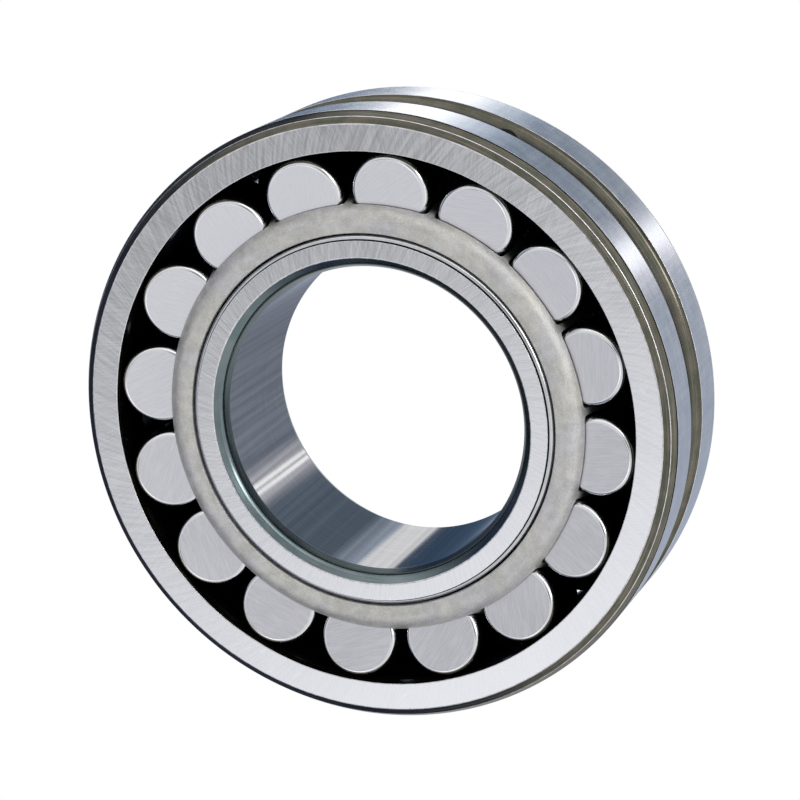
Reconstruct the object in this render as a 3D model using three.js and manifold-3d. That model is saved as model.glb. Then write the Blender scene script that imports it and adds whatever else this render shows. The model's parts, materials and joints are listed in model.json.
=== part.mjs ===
// Double-row spherical roller bearing with cylindrical bore, a free-standing unit in millimetres.
// The bearing axis is Y, the front face looks towards -Y and +Z is up. The origin is the bearing's centre.
// Angles around the axis start at +X and turn towards +Z.
import * as THREE from "three";
import { mergeVertices } from "three/addons/utils/BufferGeometryUtils.js";
import Module from "manifold-3d";

const wasm = await Module();
wasm.setup();

// Boundary dimensions
const BORE_RADIUS = 20;
const OUTER_RADIUS = 40;
const HALF_WIDTH = 11.5;

// Rolling elements: barrels on a line of action tilted from the radial plane by the contact angle
const ROLLERS_PER_ROW = 16;
const ROLLER_RADIUS = 5.3;
const ROLLER_HALF_LENGTH = 4.3;
const ROLLER_CORNER = 0.4;
const ROLLER_CROWN_RADIUS = 36;
const CONTACT_ANGLE = Math.atan(0.28 / 1.5);
const RUNNING_CLEARANCE = 0.08;
const FRONT_ROW_PHASE = THREE.MathUtils.degToRad(18.9);
const PITCH_ANGLE = (2 * Math.PI) / ROLLERS_PER_ROW;

// Outer ring: one spherical raceway, a tapered mouth at each side, a grease groove and three grease holes
const OUTER_RACEWAY_RADIUS = 36.4;
const OUTER_MOUTH_RADIUS = 34.95;
const OUTER_MOUTH_START = 9.6;
const OUTER_CHAMFER_RADIAL = 1.43;
const OUTER_CHAMFER_AXIAL = 2.1;
const GROOVE_HALF_WIDTH = 2.95;
const GROOVE_FLOOR_HALF_WIDTH = 2.15;
const GROOVE_DEPTH = 1.1;
const GREASE_HOLE_RADIUS = 1.5;
const GREASE_HOLE_COUNT = 3;
const GREASE_HOLE_PHASE = THREE.MathUtils.degToRad(69);

// Inner ring: two raceways without ribs, a middle land for the guide ring and a low shoulder at each side
const INNER_RACEWAY_CURVE = 36.9;
const MIDDLE_LAND_RADIUS = 26.2;
const INNER_RACEWAY_END = 9.3;
const SHOULDER_RADIUS = 24.36;
const SHOULDER_START = 9.5;
const SHOULDER_END = 11.05;
const INNER_FACE_OUTER_RADIUS = 23.94;
const INNER_CHAMFER_RADIAL = 1.33;
const INNER_CHAMFER_AXIAL = 2.19;

// Cage: a sheet cup whose flange covers the roller ends and whose conical wall has one window per roller
const SHEET = 1.1;
const FLANGE_INNER_RADIUS = 24.58;
const FLANGE_FRONT = 11.18;
const BEND_RADIUS = 1.25;
const BEND_CENTRE_RADIUS = 26.9;
const WALL_TAPER = THREE.MathUtils.degToRad(20.33);
const CAGE_INBOARD_END = 0.35;
const POCKET_SIDE_CLEARANCE = 0.18;
const POCKET_OUTBOARD_CLEARANCE = 0.35;
const POCKET_INBOARD_CLEARANCE = 0.12;

// Guide ring: a loose wedge-shaped ring between the rows, riding on the inner ring's middle land
const GUIDE_BORE_RADIUS = MIDDLE_LAND_RADIUS + 0.15;
const GUIDE_OUTER_RADIUS = 30;
const GUIDE_SIDE_CLEARANCE = 0.13;

// Facets around each turned piece
const RING_SEGMENTS = 64;
const CAGE_SEGMENTS = 3 * ROLLERS_PER_ROW;
const ROLLER_SEGMENTS = 16;
const POCKET_SEGMENTS = 16;
const HOLE_SEGMENTS = 16;
const CHAMFER_STEPS = 2;
const RACEWAY_STEPS = 4;

// The roller centres lie on the two contact lines, one clearance inside the spherical raceway.
const ROLLER_CENTRE_DISTANCE = OUTER_RACEWAY_RADIUS - ROLLER_RADIUS - RUNNING_CLEARANCE;
const PITCH_RADIUS = ROLLER_CENTRE_DISTANCE * Math.cos(CONTACT_ANGLE);
const ROW_OFFSET = ROLLER_CENTRE_DISTANCE * Math.sin(CONTACT_ANGLE);

// The inner raceway's curve touches the contact line one clearance inside the rollers.
const INNER_CURVE_DISTANCE =
  ROLLER_CENTRE_DISTANCE - ROLLER_RADIUS - RUNNING_CLEARANCE + INNER_RACEWAY_CURVE;
const INNER_CURVE_RADIUS = INNER_CURVE_DISTANCE * Math.cos(CONTACT_ANGLE);
const INNER_CURVE_OFFSET = INNER_CURVE_DISTANCE * Math.sin(CONTACT_ANGLE);

const outerRingSteel = steel("outer_ring_steel", 0xc3c5cc, 0.34);
const innerRingSteel = steel("inner_ring_steel", 0xbfc1c8, 0.3);
const rollerSteel = steel("roller_steel", 0xc6c7cf, 0.26);
const cageSteel = steel("cage_steel", 0xb4b1a8, 0.55);
const guideRingSteel = steel("guide_ring_steel", 0x8f8f92, 0.5);

function steel(name, color, roughness) {
  return new THREE.MeshStandardMaterial({ name, color, roughness, metalness: 0.9 });
}

function point(radius, axial) {
  return new THREE.Vector2(radius, axial);
}

// Closes an outline given for the +Y half, outer side first, by adding its mirror image in the middle plane.
function mirrored(half) {
  const other = half.map((p) => point(p.x, -p.y)).reverse();
  return [...half, ...other, half[0].clone()];
}

// Points of an elliptical corner from one angle to another, ends included.
function corner(centre, radial, axial, from, to, steps = CHAMFER_STEPS) {
  return Array.from({ length: steps + 1 }, (_, i) => {
    const angle = THREE.MathUtils.lerp(from, to, i / steps);
    return point(centre.x + radial * Math.cos(angle), centre.y + axial * Math.sin(angle));
  });
}

function revolved(profile, segments) {
  return new THREE.LatheGeometry(profile, segments);
}

function solidOf(geometry) {
  const bare = geometry.clone();
  bare.deleteAttribute("normal");
  bare.deleteAttribute("uv");
  const { attributes, index } = mergeVertices(bare, 1e-4);
  const vertProperties = attributes.position.array;
  return new wasm.Manifold(
    new wasm.Mesh({ numProp: 3, vertProperties, triVerts: new Uint32Array(index.array) }),
  );
}

function geometryOf(solid) {
  const { vertProperties, triVerts } = solid.getMesh();
  const geometry = new THREE.BufferGeometry();
  geometry.setAttribute("position", new THREE.BufferAttribute(vertProperties, 3));
  geometry.setIndex(new THREE.BufferAttribute(triVerts, 1));
  geometry.computeVertexNormals();
  return geometry;
}

function cut(body, cutters) {
  return geometryOf(cutters.reduce((rest, c) => rest.subtract(solidOf(c)), solidOf(body)));
}

function named(name, geometry, material) {
  const mesh = new THREE.Mesh(geometry, material);
  mesh.name = name;
  return mesh;
}

function outerRing() {
  const chamferCentre = point(
    OUTER_RADIUS - OUTER_CHAMFER_RADIAL,
    HALF_WIDTH - OUTER_CHAMFER_AXIAL,
  );
  const chamfer = corner(
    chamferCentre,
    OUTER_CHAMFER_RADIAL,
    OUTER_CHAMFER_AXIAL,
    0,
    Math.PI / 2,
  );
  const raceway = Array.from({ length: RACEWAY_STEPS }, (_, i) => {
    const axial = OUTER_MOUTH_START * (1 - (2 * i) / (2 * RACEWAY_STEPS - 1));
    return point(Math.sqrt(OUTER_RACEWAY_RADIUS ** 2 - axial ** 2), axial);
  });
  const ring = revolved(
    mirrored([
      point(OUTER_RADIUS - GROOVE_DEPTH, GROOVE_FLOOR_HALF_WIDTH),
      point(OUTER_RADIUS, GROOVE_HALF_WIDTH),
      ...chamfer,
      point(OUTER_MOUTH_RADIUS, HALF_WIDTH),
      ...raceway,
    ]),
    RING_SEGMENTS,
  );
  const holes = Array.from({ length: GREASE_HOLE_COUNT }, (_, i) =>
    new THREE.CylinderGeometry(GREASE_HOLE_RADIUS, GREASE_HOLE_RADIUS, OUTER_RADIUS, HOLE_SEGMENTS)
      .rotateZ(Math.PI / 2)
      .translate(OUTER_RADIUS, 0, 0)
      .rotateY(-GREASE_HOLE_PHASE - (i * 2 * Math.PI) / GREASE_HOLE_COUNT),
  );
  return named("outer_ring", cut(ring, holes), outerRingSteel);
}

function innerRing() {
  const racewayRadius = (axial) =>
    INNER_CURVE_RADIUS - Math.sqrt(INNER_RACEWAY_CURVE ** 2 - (INNER_CURVE_OFFSET - axial) ** 2);
  const landEdge =
    INNER_CURVE_OFFSET -
    Math.sqrt(INNER_RACEWAY_CURVE ** 2 - (INNER_CURVE_RADIUS - MIDDLE_LAND_RADIUS) ** 2);
  const raceway = Array.from({ length: RACEWAY_STEPS + 1 }, (_, i) => {
    const axial = THREE.MathUtils.lerp(landEdge, INNER_RACEWAY_END, i / RACEWAY_STEPS);
    return point(racewayRadius(axial), axial);
  });
  const chamferCentre = point(
    BORE_RADIUS + INNER_CHAMFER_RADIAL,
    HALF_WIDTH - INNER_CHAMFER_AXIAL,
  );
  const chamfer = corner(
    chamferCentre,
    INNER_CHAMFER_RADIAL,
    INNER_CHAMFER_AXIAL,
    Math.PI / 2,
    Math.PI,
  );
  const profile = mirrored([
    ...raceway,
    point(SHOULDER_RADIUS, SHOULDER_START),
    point(SHOULDER_RADIUS, SHOULDER_END),
    point(INNER_FACE_OUTER_RADIUS, HALF_WIDTH),
    ...chamfer,
  ]);
  return named("inner_ring", revolved(profile, RING_SEGMENTS), innerRingSteel);
}

// The inboard end face of a roller, as the distance from the middle plane at a given radius.
function inboardFace(radius) {
  const faceRadius = PITCH_RADIUS + ROLLER_HALF_LENGTH * Math.sin(CONTACT_ANGLE);
  const faceOffset = ROW_OFFSET - ROLLER_HALF_LENGTH * Math.cos(CONTACT_ANGLE);
  return faceOffset + (radius - faceRadius) * Math.tan(CONTACT_ANGLE);
}

function guideRing() {
  const profile = mirrored([
    point(GUIDE_OUTER_RADIUS, inboardFace(GUIDE_OUTER_RADIUS) - GUIDE_SIDE_CLEARANCE),
    point(GUIDE_BORE_RADIUS, inboardFace(GUIDE_BORE_RADIUS) - GUIDE_SIDE_CLEARANCE),
  ]);
  return named("guide_ring", revolved(profile, RING_SEGMENTS), guideRingSteel);
}

function rollerGeometry() {
  const crownDrop = (axial) => ROLLER_CROWN_RADIUS - Math.sqrt(ROLLER_CROWN_RADIUS ** 2 - axial ** 2);
  const barrelEnd = ROLLER_HALF_LENGTH - ROLLER_CORNER;
  const endRadius = ROLLER_RADIUS - crownDrop(barrelEnd);
  return revolved(
    [
      point(0, -ROLLER_HALF_LENGTH),
      point(endRadius - ROLLER_CORNER, -ROLLER_HALF_LENGTH),
      point(endRadius, -barrelEnd),
      point(ROLLER_RADIUS, 0),
      point(endRadius, barrelEnd),
      point(endRadius - ROLLER_CORNER, ROLLER_HALF_LENGTH),
      point(0, ROLLER_HALF_LENGTH),
    ],
    ROLLER_SEGMENTS,
  );
}

// The front row's cage, with one pocket centred on +X.
function cageGeometry() {
  const alongWall = point(Math.sin(WALL_TAPER), Math.cos(WALL_TAPER));
  const wallNormal = point(Math.cos(WALL_TAPER), -Math.sin(WALL_TAPER));
  const bendCentre = point(BEND_CENTRE_RADIUS, BEND_RADIUS - FLANGE_FRONT);
  const bend = (radius, steps) =>
    corner(bendCentre, radius, radius, -Math.PI / 2, -WALL_TAPER, steps);
  const outerBend = bend(BEND_RADIUS, 2);
  const innerBend = bend(BEND_RADIUS - SHEET, 1).reverse();
  const wallFoot = outerBend[outerBend.length - 1];
  const wallLength = (-CAGE_INBOARD_END - wallFoot.y) / alongWall.y;
  const outerEnd = wallFoot.clone().addScaledVector(alongWall, wallLength);
  const innerEnd = point(outerEnd.x - SHEET / wallNormal.x, outerEnd.y);
  const cup = revolved(
    [
      point(FLANGE_INNER_RADIUS, -FLANGE_FRONT),
      ...outerBend,
      outerEnd,
      innerEnd,
      ...innerBend,
      point(FLANGE_INNER_RADIUS, SHEET - FLANGE_FRONT),
      point(FLANGE_INNER_RADIUS, -FLANGE_FRONT),
    ],
    CAGE_SEGMENTS,
  );
  const pocketLength =
    2 * ROLLER_HALF_LENGTH + POCKET_OUTBOARD_CLEARANCE + POCKET_INBOARD_CLEARANCE;
  const pocketRadius = ROLLER_RADIUS + POCKET_SIDE_CLEARANCE;
  const pockets = Array.from({ length: ROLLERS_PER_ROW }, (_, i) =>
    new THREE.CylinderGeometry(pocketRadius, pocketRadius, pocketLength, POCKET_SEGMENTS)
      .translate(0, (POCKET_INBOARD_CLEARANCE - POCKET_OUTBOARD_CLEARANCE) / 2, 0)
      .rotateZ(-CONTACT_ANGLE)
      .translate(PITCH_RADIUS, -ROW_OFFSET, 0)
      .rotateY(-i * PITCH_ANGLE),
  );
  return cut(cup, pockets);
}

// One row: the cage and its rollers. Side is -1 for the front row and 1 for the rear row.
function row(label, side, phase, cageShape, rollerShape) {
  const group = new THREE.Group();
  const cage = named(label + "_cage", cageShape, cageSteel);
  cage.rotation.x = side > 0 ? Math.PI : 0;
  const cageTurn = new THREE.Group().add(cage);
  cageTurn.rotation.y = -phase;
  group.add(cageTurn);
  for (let i = 0; i < ROLLERS_PER_ROW; i++) {
    const number = String(i + 1).padStart(2, "0");
    const roller = named(label + "_roller_" + number, rollerShape, rollerSteel);
    roller.position.set(PITCH_RADIUS, side * ROW_OFFSET, 0);
    roller.rotation.z = side * CONTACT_ANGLE;
    const station = new THREE.Group().add(roller);
    station.rotation.y = -phase - i * PITCH_ANGLE;
    group.add(station);
  }
  return group;
}

const cageShape = cageGeometry();
const rollerShape = rollerGeometry();

const bearing = new THREE.Group();
bearing.add(
  outerRing(),
  innerRing(),
  guideRing(),
  row("front", -1, FRONT_ROW_PHASE, cageShape, rollerShape),
  row("rear", 1, FRONT_ROW_PHASE + PITCH_ANGLE / 2, cageShape, rollerShape),
);

export default bearing;
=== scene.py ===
"""Looks of a double-row spherical roller bearing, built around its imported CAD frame.

The bearing axis is Y, the front looks towards -Y and +Z is up. Outlines and patterns are in
millimetres; meshes, the camera and the stage are in metres. Angles around the axis start at +X
and turn towards +Z.
"""
import json
import math

import bmesh
import bpy
from mathutils import Matrix, Vector


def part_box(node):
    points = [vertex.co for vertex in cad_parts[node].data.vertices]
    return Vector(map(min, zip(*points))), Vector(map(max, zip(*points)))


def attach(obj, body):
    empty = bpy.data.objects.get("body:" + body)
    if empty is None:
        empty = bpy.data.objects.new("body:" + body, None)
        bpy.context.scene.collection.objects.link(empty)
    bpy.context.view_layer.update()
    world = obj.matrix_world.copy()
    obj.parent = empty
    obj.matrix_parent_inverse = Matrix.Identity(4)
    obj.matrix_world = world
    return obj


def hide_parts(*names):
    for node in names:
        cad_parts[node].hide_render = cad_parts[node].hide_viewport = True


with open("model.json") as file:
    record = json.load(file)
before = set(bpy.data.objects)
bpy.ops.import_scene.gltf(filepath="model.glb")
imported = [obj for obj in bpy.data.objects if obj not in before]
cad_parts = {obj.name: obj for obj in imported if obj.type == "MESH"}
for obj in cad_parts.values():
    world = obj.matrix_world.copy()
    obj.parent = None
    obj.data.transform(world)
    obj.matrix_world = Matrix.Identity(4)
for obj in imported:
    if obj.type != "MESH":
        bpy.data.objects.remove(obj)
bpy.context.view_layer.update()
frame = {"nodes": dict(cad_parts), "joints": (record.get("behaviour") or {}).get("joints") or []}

MM = 0.001
TURN = 2 * math.pi

# ---------------------------------------------------------------- sizes read from the frame


def reach(node, axis):
    """How far a CAD node reaches from the bearing's centre along one axis, in millimetres."""
    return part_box(node)[1][axis] / MM


def joint_of(child):
    return next(j for j in frame["joints"] if j["child"] == child)


OUTER_RADIUS = reach("outer_ring", 0)
HALF_WIDTH = reach("outer_ring", 1)
LAND_RADIUS = reach("inner_ring", 0)
GUIDE_RADIUS = reach("guide_ring", 0)
FLANGE_FRONT = -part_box("front_cage")[0].y / MM
CAGE_END = -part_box("front_cage")[1].y / MM

first_roller = joint_of("front_roller_01")
PITCH_RADIUS = math.hypot(first_roller["pos_m"][0], first_roller["pos_m"][2]) / MM
ROW_OFFSET = -first_roller["pos_m"][1] / MM
CONTACT_ANGLE = math.acos(first_roller["axis"][1])
ROLLERS_PER_ROW = sum(n.startswith("front_roller") for n in frame["nodes"])

# ---------------------------------------------------------------- driving dimensions

# Lengths in millimetres, angles in radians. A chamfer, crest, lip or rounding given as a pair is
# (radial, axial), measured from the corner that it takes off.
BORE_RADIUS = OUTER_RADIUS / 2
EDGE = 0.09
CREST_EDGE = 0.055
PLAIN_EDGE = 0.04

OUTER_RACEWAY = 36.4
OUTER_RACEWAY_START = 0.2
OUTER_MOUTH_RADIUS = 35.05
OUTER_MOUTH_START = 9.6
OUTER_CHAMFER = (1.5, 2.0)
OUTER_CREST = (0.6, 0.58)
OUTER_LIP = (0.06, 1.65)
GROOVE_HALF_WIDTH = 2.95
GROOVE_FLAT = 0.9
GROOVE_DEPTH = 1.1
GREASE_HOLES = 3
GREASE_HOLE_RADIUS = 1.5
GREASE_HOLE_PHASE = math.radians(69)
GREASE_HOLE_SINK = 0.25
GREASE_HOLE_FLARE = 1
GREASE_CUTTER_START = 30

INNER_RACEWAY_CURVE = 36.9
INNER_RACEWAY_END = 9.3
SHOULDER_RADIUS = 24.36
SHOULDER_START = 9.5
SHOULDER_END = 10.55
STEP_RADIUS = 23.85
STEP_END = 11.12
INNER_FACE_RADIUS = 23.68
INNER_CHAMFER = (1.5, 2.19)
INNER_CREST = (0.47, 0.86)
INNER_CREST_ROUNDING = 0.42

ROLLER_RADIUS = 5.3
ROLLER_HALF_LENGTH = 4.3
ROLLER_CROWN = 36.0
ROLLER_ROUNDING = (0.68, 1.05)
ROLLER_PLAY = 0.08

SHEET = 1.1
FLANGE_INNER_RADIUS = 24.56
FLANGE_CROWN = 0.1
BEND_RADIUS = 2.2
BEND_CENTRE_RADIUS = 25.98
WALL_TAPER = math.radians(20.33)
POCKET_SIDE = 0.18
POCKET_OUTBOARD = 0.15
POCKET_INBOARD = 0.12
POCKET_FILLET = 0.7
POCKET_INBOARD_FILLET = 0.3
FLANGE_EDGE = 0.14
SHEET_EDGE = 0.2

# Where the cage's painted shade starts and where it is full, along the axis in millimetres.
CAGE_SHADE_START = 1.5 - FLANGE_FRONT
CAGE_SHADE_END = CAGE_SHADE_START + 1.6

GUIDE_BORE_RADIUS = LAND_RADIUS + 0.15
GUIDE_SIDE_PLAY = 0.13
GUIDE_EDGE = 0.2
GUIDE_BORE_EDGE = 0.12

# How finely the outlines and turns are divided. HOLD is the short run beside a rounding that keeps
# the shading of the flat next to it level.
RING_SEGMENTS = 384
ROLLER_SEGMENTS = 96
POCKET_SEGMENTS = 96
GREASE_HOLE_SEGMENTS = 48
RACEWAY_STEPS = 24
GROOVE_STEPS = 12
BEND_STEPS = 10
BEND_INSIDE_STEPS = 4
ROLLER_STEPS = 8
CROWN_STEPS = 6
BEVEL_STEPS = 5
FILLET_STEPS = 4
HOLD = 0.03
ON_AXIS = 1e-6
SHARP_ANGLE = 35
CAGE_SHARP_ANGLE = 40

# ---------------------------------------------------------------- colours

# Each finish runs between a dark and a light tone. A glance tints what it reflects at a low angle.
FACE_TONES = ((0.535, 0.54, 0.57), (0.705, 0.71, 0.745))
FACE_MARK = (0.82, 0.82, 0.84)
LAND_TONES = ((0.50, 0.515, 0.545), (0.68, 0.69, 0.71))
# Darker than the lands' tones, as painted shade for the dimmer light in the bore.
BORE_SHADE_TONES = ((0.295, 0.295, 0.295), (0.445, 0.445, 0.445))
BORE_GLANCE = (0.6, 0.6, 0.62)
OLIVE_TONES = ((0.085, 0.09, 0.068), (0.135, 0.12, 0.10))
OLIVE_LINE = (0.25, 0.245, 0.205)
TEAL_TONES = ((0.115, 0.155, 0.165), (0.155, 0.19, 0.205))
TEAL_LINE = (0.33, 0.37, 0.38)
# Near black: painted shade for the gaps and hollows that take the raceway finish.
RACEWAY_SHADE_TONES = ((0.012, 0.013, 0.014), (0.024, 0.025, 0.027))
RACEWAY_GLANCE = (0.25, 0.25, 0.27)
EDGE_TONES = ((0.52, 0.52, 0.54), (0.80, 0.80, 0.82))
ROLLER_END_TONES = ((0.585, 0.585, 0.625), (0.675, 0.675, 0.72))
ROLLER_SCRATCH = (0.82, 0.82, 0.85)
# Near black: painted shade on the roller barrels and inboard ends.
ROLLER_SHADE_TONES = ((0.03, 0.031, 0.034), (0.05, 0.052, 0.056))
ROLLER_BARE_TONES = ((0.66, 0.67, 0.69), (0.80, 0.81, 0.83))
SHEET_WARM_TONES = ((0.455, 0.45, 0.425), (0.68, 0.672, 0.642))
SHEET_COOL_TONES = ((0.46, 0.455, 0.455), (0.66, 0.655, 0.67))
# Painted shade deep in the cage.
SHEET_SHADE_BLACK = (0.035, 0.036, 0.036)
GUIDE_TONES = ((0.28, 0.28, 0.29), (0.42, 0.42, 0.43))

# The studio's surfaces and lights.
WALL = (0.84, 0.84, 0.85)
DARK_CAMERA = (0.06, 0.065, 0.08)
SIDE_LEFT = (0.10, 0.12, 0.21)
SIDE_RIGHT = (1.1, 1.1, 1.08)
DUSK_LOW = (0.43, 0.48, 0.58)
DUSK_HIGH = (0.20, 0.26, 0.345)
DUSK_LEFT = (0.10, 0.17, 0.28)
BRIGHT_MIDDLE = (0.72, 0.73, 0.75)
SHADE_LEFT = (0.10, 0.12, 0.17)
SHADE_REAR = (0.08, 0.10, 0.16)
KEY_STRIP = (5.5, 5.4, 5.1)
KEY_SPOT = (10.0, 10.0, 9.6)
BLUE_PANEL = (0.60, 0.70, 0.86)
WHITE_PANEL = (1.9, 1.9, 1.9)
LAVENDER_HAZE = (0.98, 0.98, 1.08)
TWIN_STRIP = (2.4, 2.4, 2.4)

# ---------------------------------------------------------------- numbers and colours in node trees


class Field:
    """A number that flows through a node tree, so that a pattern reads as plain arithmetic."""

    def __init__(self, tree, socket):
        self.tree = tree
        self.socket = socket

    def maths(self, operation, *others):
        node = self.tree.nodes.new("ShaderNodeMath")
        node.operation = operation
        for socket, value in zip(node.inputs, (self, *others)):
            feed(self.tree, socket, value)
        return Field(self.tree, node.outputs[0])

    def __add__(self, other):
        return self.maths("ADD", other)

    def __sub__(self, other):
        return self.maths("SUBTRACT", other)

    def __mul__(self, other):
        return self.maths("MULTIPLY", other)

    def step(self, low, high, to_low=0.0, to_high=1.0):
        """Eases from to_low at low to to_high at high."""
        node = self.tree.nodes.new("ShaderNodeMapRange")
        node.interpolation_type = "SMOOTHSTEP"
        for socket, value in zip(node.inputs, (self, low, high, to_low, to_high)):
            feed(self.tree, socket, value)
        return Field(self.tree, node.outputs[0])

    def ramp(self, low, high, to_low, to_high):
        """Goes evenly from to_low at low to to_high at high."""
        node = self.tree.nodes.new("ShaderNodeMapRange")
        for socket, value in zip(node.inputs, (self, low, high, to_low, to_high)):
            feed(self.tree, socket, value)
        return Field(self.tree, node.outputs[0])

    def band(self, low, high, soft):
        """1 between low and high, easing to 0 over soft on each side."""
        return self.step(low - soft, low + soft) * self.step(high - soft, high + soft, 1.0, 0.0)


def feed(tree, socket, value):
    if isinstance(value, Field):
        value = value.socket
    if isinstance(value, bpy.types.NodeSocket):
        tree.links.new(value, socket)
    elif hasattr(value, "__len__") and socket.type == "RGBA":
        socket.default_value = (*value, 1.0)
    else:
        socket.default_value = value


def mixed(tree, share, first, second):
    """The colour that goes from first to second as share goes from 0 to 1."""
    node = tree.nodes.new("ShaderNodeMix")
    node.data_type = "RGBA"
    node.clamp_factor = True
    feed(tree, node.inputs["Factor"], share)
    feed(tree, node.inputs[6], first)
    feed(tree, node.inputs[7], second)
    return node.outputs[2]


def vector(tree, x, y, z):
    node = tree.nodes.new("ShaderNodeCombineXYZ")
    for socket, value in zip(node.inputs, (x, y, z)):
        feed(tree, socket, value)
    return node.outputs[0]


def grey(tree, level):
    return vector(tree, level, level, level)


def noise(tree, place, scale=1.0, detail=2.0, roughness=0.5):
    node = tree.nodes.new("ShaderNodeTexNoise")
    node.noise_dimensions = "3D"
    feed(tree, node.inputs["Vector"], place)
    feed(tree, node.inputs["Scale"], scale)
    feed(tree, node.inputs["Detail"], detail)
    feed(tree, node.inputs["Roughness"], roughness)
    return Field(tree, node.outputs[0])


class Turned:
    """Where a point lies on a turned piece: its own x, y, z, its radius and its angle, in millimetres."""

    def __init__(self, tree):
        self.tree = tree
        place = tree.nodes.new("ShaderNodeAttribute")
        place.attribute_name = "own_place"
        split = tree.nodes.new("ShaderNodeSeparateXYZ")
        tree.links.new(place.outputs["Vector"], split.inputs[0])
        self.place = place.outputs["Vector"]
        self.x, self.y, self.z = (Field(tree, s) for s in split.outputs)
        self.radius = (self.x * self.x + self.z * self.z).maths("SQRT")
        self.angle = self.z.maths("ARCTAN2", self.x)

    def streaks(self, around, radial, axial, twist=0.0, detail=3.0):
        """Noise with the given number of cells per turn's radian and per millimetre, without a seam."""
        angle = self.angle + self.radius * twist if twist else self.angle
        return noise(
            self.tree,
            vector(
                self.tree,
                angle.maths("COSINE") * around + self.y * axial,
                angle.maths("SINE") * around - self.y * (axial * 0.37),
                self.radius * radial,
            ),
            detail=detail,
        )


# ---------------------------------------------------------------- finishes


def material(name, build):
    """A metal whose build(tree, turned, inputs) sets its colour, roughness and relief."""
    made = bpy.data.materials.new(name)
    made.use_nodes = True
    tree = made.node_tree
    shader = tree.nodes["Principled BSDF"]
    shader.inputs["Metallic"].default_value = 1.0
    build(tree, Turned(tree), shader.inputs)
    return made


def relief(tree, inputs, height, depth):
    """Raises the surface by height times depth, in millimetres."""
    node = tree.nodes.new("ShaderNodeBump")
    node.inputs["Distance"].default_value = depth * MM
    feed(tree, node.inputs["Height"], height)
    tree.links.new(node.outputs[0], inputs["Normal"])


def ground_face(tree, at, inputs):
    """A side face from a cup wheel: short near-radial hatch, a few deeper marks and faint clouds."""
    hatch = at.streaks(88, 0.22, 0.0, twist=0.012)
    fine = at.streaks(260, 0.5, 0.0, twist=-0.008)
    deep = at.streaks(60, 0.4, 0.0, twist=0.02, detail=5.0).step(0.64, 0.74)
    cloud = noise(tree, at.place, 0.11, 3.0)
    marks = hatch * 0.6 + fine * 0.4
    tone = marks.step(0.32, 0.68) * 0.8 + cloud * 0.2
    colour = mixed(tree, tone, *FACE_TONES)
    feed(tree, inputs["Base Color"], mixed(tree, deep * 0.3, colour, FACE_MARK))
    feed(tree, inputs["Roughness"], marks.step(0.3, 0.7, 0.22, 0.29))
    relief(tree, inputs, marks + deep * 0.3, 0.0022)


def ground_land(tree, at, inputs):
    """A cylindrical seat from a plunge grinder: bright, with hair-fine marks around the axis."""
    lines = at.streaks(5, 0.0, 9.0, detail=4.0)
    chatter = at.streaks(60, 0.0, 0.05)
    cloud = noise(tree, at.place, 0.35, 4.0, 0.6)
    tone = lines * 0.45 + chatter * 0.2 + cloud * 0.35
    colour = mixed(tree, tone.step(0.35, 0.65), *LAND_TONES)
    feed(tree, inputs["Base Color"], colour)
    feed(tree, inputs["Roughness"], tone.step(0.35, 0.65, 0.17, 0.25))
    relief(tree, inputs, lines + chatter * 0.3 + cloud * 0.3, 0.0015)


def ground_bore(tree, at, inputs):
    """The bore's seat, honed finer than the outside, its colour darkened as painted shade."""
    lines = at.streaks(4, 0.0, 10.0, detail=4.0)
    bars = at.streaks(26, 0.0, 0.03, detail=3.0)
    tone = lines * 0.4 + bars * 0.6
    colour = mixed(tree, tone.step(0.35, 0.65), *BORE_SHADE_TONES)
    feed(tree, inputs["Base Color"], colour)
    feed(tree, inputs["Specular Tint"], BORE_GLANCE)
    feed(tree, inputs["Roughness"], tone.step(0.35, 0.65, 0.06, 0.1))
    relief(tree, inputs, lines, 0.0004)


def olive_scale(tree, at, inputs):
    """Turned and hardened steel that no wheel has touched: olive brown, with lines around the axis."""
    lines = at.streaks(4, 5.0, 4.0, detail=5.0)
    patches = noise(tree, at.place, 0.45, 4.0, 0.6)
    colour = mixed(tree, patches.step(0.35, 0.65), *OLIVE_TONES)
    feed(tree, inputs["Base Color"], mixed(tree, lines.step(0.45, 0.75) * 0.5, colour, OLIVE_LINE))
    feed(tree, inputs["Roughness"], lines.step(0.35, 0.65, 0.2, 0.3))
    relief(tree, inputs, lines, 0.005)


def teal_scale(tree, at, inputs):
    """The glossier blue-green scale on the bore chamfers."""
    lines = at.streaks(5, 6.0, 5.0, detail=4.0)
    patches = noise(tree, at.place, 0.25, 3.0)
    colour = mixed(tree, patches.step(0.35, 0.65), *TEAL_TONES)
    feed(tree, inputs["Base Color"], mixed(tree, lines.step(0.5, 0.8) * 0.35, colour, TEAL_LINE))
    feed(tree, inputs["Roughness"], lines.step(0.35, 0.65, 0.16, 0.22))
    relief(tree, inputs, lines, 0.002)


def raceway(tree, at, inputs):
    """Honed raceway steel painted near black as shade, for the dark gaps and hollows that take this
    finish.
    """
    lines = at.streaks(4, 2.0, 7.0, detail=4.0)
    film = noise(tree, at.place, 0.2, 3.0)
    tone = lines * 0.5 + film * 0.5
    feed(tree, inputs["Base Color"], mixed(tree, tone, *RACEWAY_SHADE_TONES))
    feed(tree, inputs["Specular Tint"], RACEWAY_GLANCE)
    feed(tree, inputs["Roughness"], lines.step(0.35, 0.65, 0.4, 0.5))
    relief(tree, inputs, lines, 0.001)


def polished_edge(tree, at, inputs):
    """The tumbled break of a sharp edge."""
    wear = at.streaks(40, 2.0, 2.0)
    feed(tree, inputs["Base Color"], mixed(tree, wear.step(0.3, 0.7), *EDGE_TONES))
    feed(tree, inputs["Roughness"], wear.step(0.3, 0.7, 0.3, 0.42))


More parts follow.
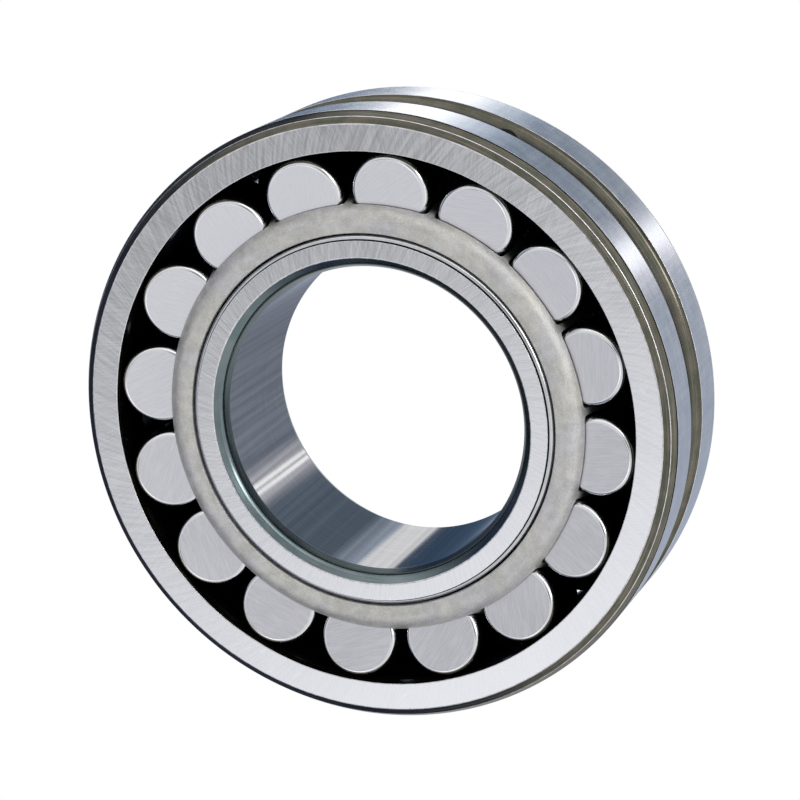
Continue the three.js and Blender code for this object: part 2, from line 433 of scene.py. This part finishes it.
def roller_end(tree, at, inputs):
    """A roller's end face: satin, with faint straight grinding marks and a few scratches across them."""
    across = noise(tree, vector(tree, at.x * 4.0, at.y, at.z * 0.3), 1.0, 3.0)
    fine = noise(tree, vector(tree, at.x * 12.0, at.y, at.z * 0.9), 1.0, 2.0)
    stray = noise(tree, vector(tree, (at.x + at.z) * 0.35, at.y, (at.x - at.z) * 6.0), 1.0, 3.0)
    marks = across * 0.55 + fine * 0.45
    cloud = noise(tree, at.place, 0.3, 3.0)
    tone = marks.step(0.3, 0.7) * 0.6 + cloud * 0.4
    colour = mixed(tree, tone.step(0.2, 0.8), *ROLLER_END_TONES)
    feed(tree, inputs["Base Color"], mixed(tree, stray.step(0.62, 0.74) * 0.35, colour, ROLLER_SCRATCH))
    feed(tree, inputs["Roughness"], tone.step(0.3, 0.7, 0.32, 0.4))
    relief(tree, inputs, marks, 0.003)


def roller_barrel(tree, at, inputs):
    """The superfinished running surface, painted near black as shade up to its bright rounded outboard
    end.
    """
    lines = at.streaks(3, 0.0, 8.0, detail=3.0)
    # Painted shade: near black all along except the outboard rounding.
    unshaded_end = at.y.step(1.0 - ROLLER_HALF_LENGTH, 1.25 - ROLLER_HALF_LENGTH, 1.0, 0.0)
    painted_shade = mixed(tree, lines, *ROLLER_SHADE_TONES)
    bright = mixed(tree, lines, *ROLLER_BARE_TONES)
    feed(tree, inputs["Base Color"], mixed(tree, unshaded_end, painted_shade, bright))
    feed(tree, inputs["Roughness"], lines.step(0.35, 0.65, 0.14, 0.2))
    relief(tree, inputs, lines, 0.0006)


def tumbled_sheet(tree, at, inputs):
    """Pressed cage sheet: tumbled to a warm matt grey with a fine grain, and painted black as shade in
    its depths.
    """
    grain = noise(tree, at.place, 6.0, 3.0, 0.65)
    patches = noise(tree, at.place, 0.75, 4.0, 0.65)
    tint = noise(tree, at.place, 0.22, 3.0)
    drawn = at.streaks(6, 1.2, 1.2, detail=3.0)
    tone = grain * 0.4 + patches * 0.4 + drawn * 0.2
    warm = mixed(tree, tone.step(0.36, 0.64), *SHEET_WARM_TONES)
    cool = mixed(tree, tone.step(0.36, 0.64), *SHEET_COOL_TONES)
    sheet = mixed(tree, tint.step(0.42, 0.6), warm, cool)
    # Painted shade: the sheet turns black towards its inboard depths.
    depth = at.y.step(CAGE_SHADE_START, CAGE_SHADE_END)
    feed(tree, inputs["Base Color"], mixed(tree, depth, sheet, SHEET_SHADE_BLACK))
    feed(tree, inputs["Metallic"], 0.75)
    feed(tree, inputs["Roughness"], tone.step(0.35, 0.65, 0.5, 0.6))
    relief(tree, inputs, grain * 0.7 + drawn * 0.3, 0.01)


def guide_steel(tree, at, inputs):
    """The loose guide ring: plain turned steel."""
    lines = at.streaks(4, 4.0, 3.0, detail=4.0)
    patches = noise(tree, at.place, 0.3, 3.0)
    tone = lines * 0.6 + patches * 0.4
    feed(tree, inputs["Base Color"], mixed(tree, tone, *GUIDE_TONES))
    feed(tree, inputs["Roughness"], tone.step(0.35, 0.65, 0.38, 0.5))
    relief(tree, inputs, lines, 0.004)


FINISHES = (
    ground_face,
    ground_land,
    ground_bore,
    olive_scale,
    teal_scale,
    raceway,
    polished_edge,
    roller_end,
    roller_barrel,
    tumbled_sheet,
    guide_steel,
)
materials = {build.__name__: material(build.__name__, build) for build in FINISHES}

# ---------------------------------------------------------------- turned meshes


def rounded(corners):
    """Outline points and the finish that starts at each.

    A corner is (radius, axial, rounding, finish after it). A rounding of EDGE or CREST_EDGE shows
    as a polished edge; any other has the finish after it.
    """
    points = []
    for i, (radius, axial, size, finish) in enumerate(corners):
        here = Vector((radius, axial))
        if not size:
            points.append((here, finish))
            continue
        before = Vector(corners[i - 1][:2])
        after = Vector(corners[(i + 1) % len(corners)][:2])
        back = (before - here).normalized()
        ahead = (after - here).normalized()
        points.append((here + back * (size + HOLD), corners[i - 1][3]))
        for k in range(FILLET_STEPS + 1):
            t = k / FILLET_STEPS
            bend = here + back * size * (1 - t) ** 2 + ahead * size * t**2
            polished = k < FILLET_STEPS and size in (EDGE, CREST_EDGE)
            points.append((bend, "polished_edge" if polished else finish))
        points.append((here + ahead * (size + HOLD), finish))
    return points


def mirrored(half, closing):
    """Joins the outline of the +Y half to its mirror image, with the closing finish across the middle."""
    back = []
    for i in range(len(half) - 1, -1, -1):
        radius, axial, size, _ = half[i]
        back.append((radius, -axial, size, half[i - 1][3] if i else closing))
    return half + back


def ring_about_axis(made, p, segments):
    """The vertices of one ring about Y, which is a single shared vertex for a point on the axis."""
    if p.x < ON_AXIS:
        return [made.verts.new((0, p.y * MM, 0))] * segments
    ring = []
    for s in range(segments):
        angle = TURN * s / segments
        spot = (p.x * math.cos(angle) * MM, p.y * MM, p.x * math.sin(angle) * MM)
        ring.append(made.verts.new(spot))
    return ring


def turned(name, points, segments, closed=True):
    """A mesh turned about Y from outline points. An open outline starts and ends on the axis."""
    count = len(points)
    slots = sorted({finish for _, finish in points})
    made = bmesh.new()
    rings = [ring_about_axis(made, p, segments) for p, _ in points]
    for i in range(count if closed else count - 1):
        here, there = rings[i], rings[(i + 1) % count]
        for s in range(segments):
            t = (s + 1) % segments
            corners = [here[s], there[s], there[t], here[t]]
            face = made.faces.new(sorted(set(corners), key=corners.index))
            face.material_index = slots.index(points[i][1])
    bmesh.ops.recalc_face_normals(made, faces=made.faces)
    mesh = bpy.data.meshes.new(name)
    made.to_mesh(mesh)
    made.free()
    for slot in slots:
        mesh.materials.append(materials[slot])
    return mesh


def finish_mesh(mesh, sharp=SHARP_ANGLE):
    """Smooths a mesh between its sharp edges and keeps each point's own place for the patterns."""
    mesh.shade_smooth()
    mesh.set_sharp_from_angle(angle=math.radians(sharp))
    place = mesh.attributes.new("own_place", "FLOAT_VECTOR", "POINT")
    flat = [c / MM for v in mesh.vertices for c in v.co]
    place.data.foreach_set("vector", flat)
    return mesh


def cut(name, body, cutters, finish):
    """body less the cutters, by an exact boolean. The cut faces take the finish named."""
    scratch = bpy.data.objects.new(name + "_body", body)
    bpy.context.scene.collection.objects.link(scratch)
    tools = []
    for cutter in cutters:
        cutter.materials.clear()
        cutter.materials.append(materials[finish])
        tool = bpy.data.objects.new(name + "_tool", cutter)
        bpy.context.scene.collection.objects.link(tool)
        tools.append(tool)
        step = scratch.modifiers.new("cut", "BOOLEAN")
        step.operation = "DIFFERENCE"
        step.solver = "EXACT"
        step.material_mode = "TRANSFER"
        step.object = tool
    view = bpy.context.evaluated_depsgraph_get()
    mesh = bpy.data.meshes.new_from_object(scratch.evaluated_get(view), depsgraph=view)
    for spare in (scratch, *tools):
        bpy.data.objects.remove(spare)
    mesh.name = name
    return mesh


def put(name, mesh, place=Matrix.Identity(4)):
    """Shows a mesh in place of the CAD node of that name."""
    piece = bpy.data.objects.new(name + "_fine", mesh)
    bpy.context.scene.collection.objects.link(piece)
    mesh.transform(place)
    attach(piece, name)
    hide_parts(name)


# ---------------------------------------------------------------- rings


def racing(centre, radius, start, end, inward):
    """Corners of a raceway arc about centre (radial, axial), from one axial place to another.

    An inward arc lies on the axis side of its centre.
    """
    corners = []
    for k in range(RACEWAY_STEPS + 1):
        axial = start + (end - start) * k / RACEWAY_STEPS
        drop = math.sqrt(radius**2 - (centre[1] - axial) ** 2)
        corners.append((centre[0] + (-drop if inward else drop), axial, 0, "raceway"))
    return corners


def quarter_turn(centre, reach_out, steps):
    """Radial and axial places along a quarter of an ellipse about centre, starting at its radial end."""
    found = []
    for k in range(steps + 1):
        turn = math.pi / 2 * k / steps
        radial = centre[0] + reach_out[0] * math.cos(turn)
        axial = centre[1] + reach_out[1] * math.sin(turn)
        found.append((radial, axial))
    return found


def outer_ring_body():
    """The outer ring, turned from the outline of its +Y half."""
    groove_reach = (-GROOVE_DEPTH, GROOVE_HALF_WIDTH - GROOVE_FLAT)
    groove = quarter_turn((OUTER_RADIUS, GROOVE_FLAT), groove_reach, GROOVE_STEPS)[:-1]
    half = [
        *((radius, axial, 0, "olive_scale") for radius, axial in groove),
        (OUTER_RADIUS, GROOVE_HALF_WIDTH, CREST_EDGE, "ground_land"),
        # The narrow facet beside the land takes the near-black raceway finish, a painted dark band of
        # shade.
        (OUTER_RADIUS, HALF_WIDTH - OUTER_CHAMFER[1], EDGE, "raceway"),
        (OUTER_RADIUS - OUTER_LIP[0], HALF_WIDTH - OUTER_LIP[1], PLAIN_EDGE, "olive_scale"),
        (OUTER_RADIUS - OUTER_CREST[0], HALF_WIDTH - OUTER_CREST[1], CREST_EDGE, "olive_scale"),
        (OUTER_RADIUS - OUTER_CHAMFER[0], HALF_WIDTH, EDGE, "ground_face"),
        (OUTER_MOUTH_RADIUS, HALF_WIDTH, EDGE, "olive_scale"),
        *racing((0, 0), OUTER_RACEWAY, OUTER_MOUTH_START, OUTER_RACEWAY_START, False),
    ]
    return turned("outer_ring_body", rounded(mirrored(half, "olive_scale")), RING_SEGMENTS)


def grease_hole_cutter(index):
    """A grease hole with a countersunk mouth in the groove's floor."""
    floor = OUTER_RADIUS - GROOVE_DEPTH
    mouth = floor - GREASE_HOLE_SINK + GREASE_HOLE_FLARE
    flared = GREASE_HOLE_RADIUS + GREASE_HOLE_SINK + GREASE_HOLE_FLARE
    outline = (
        (0, GREASE_CUTTER_START),
        (GREASE_HOLE_RADIUS, GREASE_CUTTER_START),
        (GREASE_HOLE_RADIUS, floor - GREASE_HOLE_SINK),
        (flared, mouth),
        (0, mouth),
    )
    points = [(Vector(p), "olive_scale") for p in outline]
    cutter = turned("grease_hole", points, GREASE_HOLE_SEGMENTS, closed=False)
    angle = GREASE_HOLE_PHASE + index * TURN / GREASE_HOLES
    cutter.transform(Matrix.Rotation(-angle, 4, "Y") @ Matrix.Rotation(-math.pi / 2, 4, "Z"))
    return cutter


def outer_ring():
    holes = [grease_hole_cutter(i) for i in range(GREASE_HOLES)]
    # The holes' walls take the near-black raceway finish, as painted shade inside them.
    mesh = cut("outer_ring_mesh", outer_ring_body(), holes, "raceway")
    put("outer_ring", finish_mesh(mesh))


def inner_ring():
    """Its raceways are arcs about a point far out along the contact line, so rollers touch midway."""
    centre_distance = math.hypot(PITCH_RADIUS, ROW_OFFSET)
    reach_out = centre_distance - ROLLER_RADIUS - ROLLER_PLAY + INNER_RACEWAY_CURVE
    centre = (reach_out * math.cos(CONTACT_ANGLE), reach_out * math.sin(CONTACT_ANGLE))
    land_edge = centre[1] - math.sqrt(INNER_RACEWAY_CURVE**2 - (centre[0] - LAND_RADIUS) ** 2)
    bevel_reach = (SHOULDER_RADIUS - STEP_RADIUS, STEP_END - SHOULDER_END)
    bevel = quarter_turn((STEP_RADIUS, SHOULDER_END), bevel_reach, BEVEL_STEPS)
    half = [
        *racing(centre, INNER_RACEWAY_CURVE, land_edge, INNER_RACEWAY_END, True),
        (SHOULDER_RADIUS, SHOULDER_START, 0, "ground_land"),
        *((radius, axial, 0, "ground_land") for radius, axial in bevel[:-1]),
        # The step wall takes the near-black raceway finish, painted shade for the gap line beside the
        # cage flange.
        (*bevel[-1], 0, "raceway"),
        (INNER_FACE_RADIUS, HALF_WIDTH, CREST_EDGE, "ground_face"),
        (BORE_RADIUS + INNER_CHAMFER[0], HALF_WIDTH, EDGE, "teal_scale"),
        (BORE_RADIUS + INNER_CREST[0], HALF_WIDTH - INNER_CREST[1], INNER_CREST_ROUNDING, "teal_scale"),
        (BORE_RADIUS, HALF_WIDTH - INNER_CHAMFER[1], PLAIN_EDGE, "ground_bore"),
    ]
    mesh = turned("inner_ring_mesh", rounded(mirrored(half, "ground_land")), RING_SEGMENTS)
    put("inner_ring", finish_mesh(mesh))


def guide_ring():
    def half_width(radius):
        """Half the gap that the leaning roller ends leave at a radius, less the play."""
        face_radius = PITCH_RADIUS + ROLLER_HALF_LENGTH * math.sin(CONTACT_ANGLE)
        face_offset = ROW_OFFSET - ROLLER_HALF_LENGTH * math.cos(CONTACT_ANGLE)
        return face_offset + (radius - face_radius) * math.tan(CONTACT_ANGLE) - GUIDE_SIDE_PLAY

    half = [
        (GUIDE_RADIUS, half_width(GUIDE_RADIUS), GUIDE_EDGE, "guide_steel"),
        (GUIDE_BORE_RADIUS, half_width(GUIDE_BORE_RADIUS), GUIDE_BORE_EDGE, "guide_steel"),
    ]
    mesh = turned("guide_ring_mesh", rounded(mirrored(half[::-1], "guide_steel")), RING_SEGMENTS)
    put("guide_ring", finish_mesh(mesh))


# ---------------------------------------------------------------- rollers and cages


def barrel_radius(axial):
    """The crowned roller's radius at an axial place on it."""
    return ROLLER_RADIUS - (ROLLER_CROWN - math.sqrt(ROLLER_CROWN**2 - axial**2))


def roller_outline():
    """Half a roller's section. Its end face at -Y looks outboard and keeps its own finish; the rest takes
    the barrel's finish, painted dark as shade beyond the outboard rounding.
    """
    radial, axial = ROLLER_ROUNDING
    barrel_end = ROLLER_HALF_LENGTH - axial
    flat = barrel_radius(barrel_end) - radial
    end_face = [(r, ROLLER_HALF_LENGTH) for r in (0, flat * 0.5, flat - HOLD)]
    top = list(end_face)
    for k in range(ROLLER_STEPS + 1):
        angle = math.pi / 2 * (1 - k / ROLLER_STEPS)
        top.append((flat + radial * math.cos(angle), barrel_end + axial * math.sin(angle)))
    for k in range(1, ROLLER_STEPS + 1):
        y = barrel_end * (1 - k / ROLLER_STEPS)
        top.append((barrel_radius(y), y))
    points = [(Vector(p), "roller_barrel") for p in top]
    for i in range(len(top) - 2, -1, -1):
        # The inboard end face takes the barrel's finish and so its painted shade.
        finish = "roller_end" if i <= len(end_face) else "roller_barrel"
        points.append((Vector((top[i][0], -top[i][1])), finish))
    return points


def rollers():
    """Every roller, each spun by the golden angle from the last, so that grinding marks don't line up."""
    outline = roller_outline()
    golden = math.pi * (3 - math.sqrt(5))
    names = sorted(n for n in frame["nodes"] if "_roller_" in n)
    for i, name in enumerate(names):
        mesh = finish_mesh(turned(name + "_mesh", outline, ROLLER_SEGMENTS, closed=False))
        joint = joint_of(name)
        inboard = Vector(joint["axis"]) * (1 if name.startswith("front") else -1)
        lean = Vector((0, 1, 0)).rotation_difference(inboard).to_matrix().to_4x4()
        spun = lean @ Matrix.Rotation(golden * i, 4, "Y")
        put(name, mesh, place=Matrix.Translation(joint["pos_m"]) @ spun)


def pocket_cutter(index):
    """The space around one roller of the front row that its cage leaves free."""
    radius = ROLLER_RADIUS + POCKET_SIDE
    outboard = -ROLLER_HALF_LENGTH - POCKET_OUTBOARD
    inboard = ROLLER_HALF_LENGTH + POCKET_INBOARD
    shape = [
        (0, outboard, 0, "tumbled_sheet"),
        (radius, outboard, POCKET_FILLET, "tumbled_sheet"),
        (radius, inboard, POCKET_INBOARD_FILLET, "tumbled_sheet"),
        (0, inboard, 0, "tumbled_sheet"),
    ]
    cutter = turned("pocket", rounded(shape), POCKET_SEGMENTS, closed=False)
    lean = Matrix.Rotation(-CONTACT_ANGLE, 4, "Z")
    out = Matrix.Translation((PITCH_RADIUS * MM, -ROW_OFFSET * MM, 0))
    cutter.transform(Matrix.Rotation(-index * TURN / ROLLERS_PER_ROW, 4, "Y") @ out @ lean)
    return cutter


def cage_bend(radius, steps):
    """Points along the cage's bend, from the flange to the tapered wall."""
    centre = Vector((BEND_CENTRE_RADIUS, BEND_RADIUS - FLANGE_FRONT))
    spread = math.pi / 2 - WALL_TAPER
    found = []
    for k in range(steps + 1):
        angle = -math.pi / 2 + spread * k / steps
        found.append(centre + radius * Vector((math.cos(angle), math.sin(angle))))
    return found


def flange_crown():
    """Points on the flange's front, which domes slightly from its inner edge to the bend."""
    found = []
    for k in range(1, CROWN_STEPS):
        share = k / CROWN_STEPS
        radius = FLANGE_INNER_RADIUS + (BEND_CENTRE_RADIUS - FLANGE_INNER_RADIUS) * share
        found.append(Vector((radius, FLANGE_CROWN * (1 - share) ** 2 - FLANGE_FRONT)))
    return found


def cage_outline():
    """The section of the front row's cage before its pockets are cut."""
    along = Vector((math.sin(WALL_TAPER), math.cos(WALL_TAPER)))
    outside = cage_bend(BEND_RADIUS, BEND_STEPS)
    inside = cage_bend(BEND_RADIUS - SHEET, BEND_INSIDE_STEPS)[::-1]
    foot = outside[-1]
    outer_end = foot + along * ((-CAGE_END - foot.y) / along.y)
    inner_end = Vector((outer_end.x - SHEET / math.cos(WALL_TAPER), outer_end.y))
    sheet = "tumbled_sheet"
    corners = [
        (FLANGE_INNER_RADIUS, FLANGE_CROWN - FLANGE_FRONT, FLANGE_EDGE, sheet),
        *((p.x, p.y, 0, sheet) for p in flange_crown() + outside),
        (outer_end.x, outer_end.y, SHEET_EDGE, sheet),
        (inner_end.x, inner_end.y, SHEET_EDGE, sheet),
        *((p.x, p.y, 0, sheet) for p in inside),
        (FLANGE_INNER_RADIUS, SHEET - FLANGE_FRONT, SHEET_EDGE, sheet),
    ]
    return rounded(corners)


def cage_mesh():
    """The front row's cage with one pocket centred on +X."""
    body = turned("cage_body", cage_outline(), RING_SEGMENTS)
    pockets = [pocket_cutter(i) for i in range(ROLLERS_PER_ROW)]
    return cut("cage_mesh", body, pockets, "tumbled_sheet")


def cages():
    """Both cages from one stamping, each turned to its own row's rollers, and the rear one flipped."""
    shape = cage_mesh()
    for row, flip in (("front", 0.0), ("rear", math.pi)):
        x, _, z = joint_of(row + "_roller_01")["pos_m"]
        phase = Matrix.Rotation(-math.atan2(z, x), 4, "Y")
        mesh = finish_mesh(shape.copy(), CAGE_SHARP_ANGLE)
        put(row + "_cage", mesh, place=phase @ Matrix.Rotation(flip, 4, "X"))


# ---------------------------------------------------------------- studio

CAMERA_AZIMUTH = math.radians(18.97)
CAMERA_ELEVATION = math.radians(15.33)
CAMERA_ROLL = math.radians(0.57)
CAMERA_DISTANCE = 0.39081
CAMERA_TARGET = Vector((0.0002, 0, 0.00017))
CAMERA_LENS = 134.36
CAMERA_SENSOR = 36
CAMERA_CLIP = (0.01, 50)

FLOOR_HALF = 6
FLOOR_GAP = 0.02 * MM


def camera():
    a, e = CAMERA_AZIMUTH, CAMERA_ELEVATION
    back = Vector((math.sin(a) * math.cos(e), -math.cos(a) * math.cos(e), math.sin(e)))
    right = (-back).cross(Vector((0, 0, 1))).normalized()
    up = back.cross(right)
    level = Matrix((right, up, back)).transposed()
    turn = level @ Matrix.Rotation(CAMERA_ROLL, 3, "Z")
    data = bpy.data.cameras.new("camera")
    data.lens = CAMERA_LENS
    data.sensor_width = CAMERA_SENSOR
    data.clip_start, data.clip_end = CAMERA_CLIP
    seen = bpy.data.objects.new("camera", data)
    seen.matrix_world = Matrix.Translation(CAMERA_TARGET + back * CAMERA_DISTANCE) @ turn.to_4x4()
    bpy.context.scene.collection.objects.link(seen)
    bpy.context.scene.camera = seen


def floor_white():
    """White from above whatever the light, and clear from below."""
    made = bpy.data.materials.new("floor_white")
    made.use_nodes = True
    tree = made.node_tree
    tree.nodes.clear()
    output = tree.nodes.new("ShaderNodeOutputMaterial")
    white = tree.nodes.new("ShaderNodeEmission")
    clear = tree.nodes.new("ShaderNodeBsdfTransparent")
    side = tree.nodes.new("ShaderNodeNewGeometry")
    pick = tree.nodes.new("ShaderNodeMixShader")
    white.inputs["Color"].default_value = (1, 1, 1, 1)
    tree.links.new(side.outputs["Backfacing"], pick.inputs[0])
    tree.links.new(white.outputs[0], pick.inputs[1])
    tree.links.new(clear.outputs[0], pick.inputs[2])
    tree.links.new(pick.outputs[0], output.inputs[0])
    return made


def floor():
    """A plain white floor under the bearing, which closes off the view but throws nothing back."""
    mesh = bpy.data.meshes.new("floor")
    level = -OUTER_RADIUS * MM - FLOOR_GAP
    corners = [(x * FLOOR_HALF, y * FLOOR_HALF, level) for x, y in ((-1, -1), (1, -1), (1, 1), (-1, 1))]
    mesh.from_pydata(corners, [], [(0, 1, 2, 3)])
    mesh.materials.append(floor_white())
    plane = bpy.data.objects.new("floor", mesh)
    for ray in ("visible_diffuse", "visible_glossy", "visible_transmission", "visible_shadow"):
        setattr(plane, ray, False)
    bpy.context.scene.collection.objects.link(plane)


class Way:
    """The direction that a ray of light comes from, as numbers in the world's node tree."""

    def __init__(self, tree):
        self.tree = tree
        seen = tree.nodes.new("ShaderNodeTexCoord")
        split = tree.nodes.new("ShaderNodeSeparateXYZ")
        tree.links.new(seen.outputs["Generated"], split.inputs[0])
        self.x, self.y, self.z = (Field(tree, s) for s in split.outputs)
        self.angle = self.z.maths("ARCTAN2", self.x)
        self.rear = self.y.step(0.7, 0.8)

    def near(self, spot, inner, outer):
        """1 within inner of a direction, easing to 0 at outer, as chord lengths."""
        px, py, pz = Vector(spot).normalized()
        dx, dy, dz = self.x - px, self.y - py, self.z - pz
        gap = (dx * dx + dy * dy + dz * dz).maths("SQRT")
        return gap.step(inner, outer, 1.0, 0.0)

    def sector(self, low, high, soft):
        """A band behind the bearing, between two angles around the axis in degrees."""
        return self.angle.band(*(math.radians(a) for a in (low, high, soft))) * self.rear


def in_front(way):
    """An even wall, with a slope of light where the side faces look, and the dark camera."""
    slope = (way.z - way.x * 0.43).ramp(-0.26, -0.05, 2.1, 0.14)
    low_left = way.near((-0.31, -0.91, -0.26), 0.12, 0.3)
    wall = mixed(way.tree, low_left, WALL, grey(way.tree, slope))
    return mixed(way.tree, way.near((0.31, -0.91, 0.26), 0.08, 0.35), wall, DARK_CAMERA)


def beside(way, light):
    """To the sides: bright towards the right and above, dark to the left."""
    side = mixed(way.tree, (way.x + way.z * 0.6).step(-0.75, 0.0), SIDE_LEFT, SIDE_RIGHT)
    return mixed(way.tree, way.y.step(-0.62, -0.42), light, side)


def behind(way, light):
    """A bright middle, then the blue-grey dusk that the seats reflect, deeper above than below."""
    dusk = mixed(way.tree, way.z.step(-0.05, 0.42), DUSK_LOW, DUSK_HIGH)
    dusk = mixed(way.tree, way.x.step(-0.42, -0.3), DUSK_LEFT, dusk)
    away = (way.x * way.x + way.z * way.z).maths("SQRT")
    far = mixed(way.tree, away.band(0.27, 0.58, 0.05), BRIGHT_MIDDLE, dusk)
    return mixed(way.tree, way.y.step(0.35, 0.65), light, far)


def shaded(way, light):
    """Dark screens to the left and behind."""
    screen = way.x.step(-0.68, -0.5, 1.0, 0.0) * way.y.band(0.25, 0.52, 0.08)
    light = mixed(way.tree, screen, light, SHADE_LEFT)
    left = way.x.step(-0.55, -0.42, 1.0, 0.0)
    screen = left * way.z.step(-0.22, -0.12) * way.y.band(0.2, 0.82, 0.06)
    light = mixed(way.tree, screen, light, SHADE_REAR)
    return mixed(way.tree, way.near((-0.48, 0.84, -0.26), 0.08, 0.16), light, SHADE_REAR)


def keyed(way, light):
    """The key strip runs from the right to overhead, with its brightest spot at the right."""
    strip = way.y.band(-0.43, -0.35, 0.035) * way.x.step(-0.1, 0.7, 0.12, 1.0) * way.z.step(0.1, 0.3)
    light = mixed(way.tree, strip, light, KEY_STRIP)
    return mixed(way.tree, way.near((0.82, -0.42, 0.38), 0.05, 0.2), light, KEY_SPOT)


def panelled(way, light):
    """Behind on the left a white panel with a bluish right edge; on the right twin strips in haze."""
    light = mixed(way.tree, way.sector(106, 140, 7), light, BLUE_PANEL)
    light = mixed(way.tree, way.sector(123, 150, 2.5), light, WHITE_PANEL)
    light = mixed(way.tree, way.sector(18, 41, 7), light, LAVENDER_HAZE)
    for twin in (27.8, 32.6):
        light = mixed(way.tree, way.sector(twin - 1.4, twin + 1.4, 0.6), light, TWIN_STRIP)
    return light


def studio():
    """Soft boxes around the bearing as a function of direction; the camera itself sees white."""
    world = bpy.data.worlds.new("studio")
    bpy.context.scene.world = world
    world.use_nodes = True
    tree = world.node_tree
    tree.nodes.clear()
    way = Way(tree)
    light = in_front(way)
    for part in (beside, behind, shaded, keyed, panelled):
        light = part(way, light)
    path = tree.nodes.new("ShaderNodeLightPath")
    shown = mixed(tree, path.outputs["Is Camera Ray"], light, (1.0, 1.0, 1.0))
    output = tree.nodes.new("ShaderNodeOutputWorld")
    glow = tree.nodes.new("ShaderNodeBackground")
    tree.links.new(shown, glow.inputs["Color"])
    tree.links.new(glow.outputs[0], output.inputs[0])
    bpy.context.scene.view_settings.view_transform = "Standard"


outer_ring()
inner_ring()
guide_ring()
rollers()
cages()
camera()
floor()
studio()
